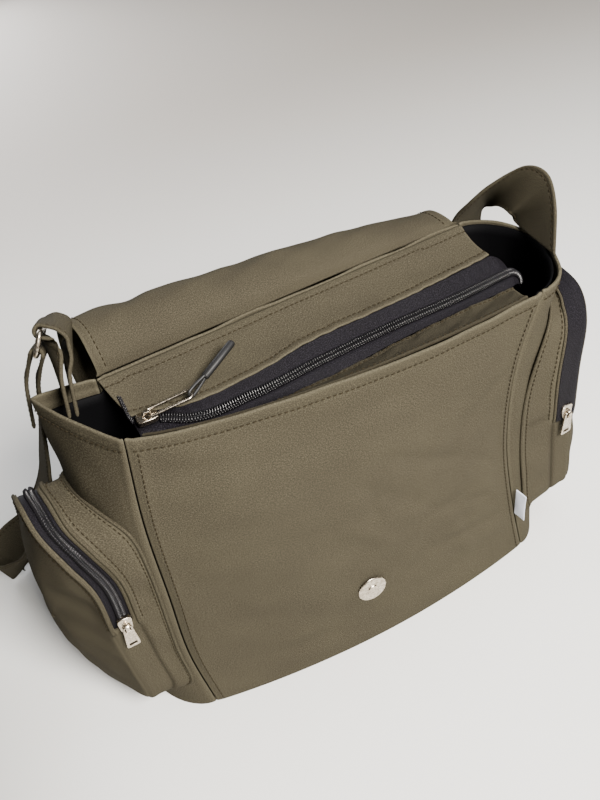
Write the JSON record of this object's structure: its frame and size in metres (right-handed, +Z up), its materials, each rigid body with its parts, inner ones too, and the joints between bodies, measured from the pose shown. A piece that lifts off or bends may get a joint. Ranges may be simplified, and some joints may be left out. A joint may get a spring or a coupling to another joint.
{
  "type": "shoulder bag",
  "caption": "Canvas shoulder bag with a thrown-back flap, a zipped top, zipped side pockets and a loose webbing strap.",
  "frame": {"origin": "on the floor, under the middle of the bag's bottom panel", "axes": "+X to the bag's right side as its front is faced, -Y out of the front panel, +Z up"},
  "size_m": [0.4165, 0.2207, 0.2676],
  "materials": {
    "canvas": "olive cotton canvas, matt",
    "lining_cloth": "black woven polyester",
    "zip_cloth": "black woven zip tape with a nylon coil",
    "nickel": "polished nickel plate",
    "moulded_rubber": "satin black moulding",
    "label_cloth": "pale grey woven tape, blank"
  },
  "bodies": {
    "bag": {"front_panel": "canvas", "back_panel": "canvas", "gusset_left": "canvas", "gusset_right": "canvas", "bottom_panel": "canvas", "facing_back": "canvas", "facing_front": "canvas", "flap": "canvas", "pocket_left": "canvas", "pocket_right": "canvas", "strap": "canvas", "strap_tab": "canvas", "lining": "lining_cloth", "zip_tape": "zip_cloth", "zip_coil": "zip_cloth", "pocket_left_zip_tape": "zip_cloth", "pocket_left_coil": "zip_cloth", "pocket_right_zip_tape": "zip_cloth", "pocket_right_coil": "zip_cloth", "zip_slider": "nickel", "pocket_left_slider": "nickel", "pocket_right_slider": "nickel", "strap_ring": "nickel", "snap_socket": "nickel", "snap_stud": "nickel", "side_tag": "label_cloth"},
    "main_pull": {"zip_pull_loop": "nickel", "zip_pull_cord": "moulded_rubber"},
    "left_pull": {"pocket_left_pull": "nickel"},
    "right_pull": {"pocket_right_pull": "nickel"}
  },
  "joints": [
    {"name": "main_pull_turn", "type": "hinge", "parent": "bag", "child": "main_pull", "pos_m": [-0.10295, 0.00255, 0.21856], "axis": [0.1188, 0.9929, 0], "range_deg": [-110, 0]},
    {"name": "left_pull_turn", "type": "hinge", "parent": "bag", "child": "left_pull", "pos_m": [-0.1551, -0.03437, 0.10953], "axis": [0.9999, 0.0155, -0.0043], "range_deg": [-130, 0]},
    {"name": "right_pull_turn", "type": "hinge", "parent": "bag", "child": "right_pull", "pos_m": [0.15514, -0.03539, 0.10947], "axis": [0.9973, 0.0583, 0.0437], "range_deg": [-130, 0]}
  ]
}
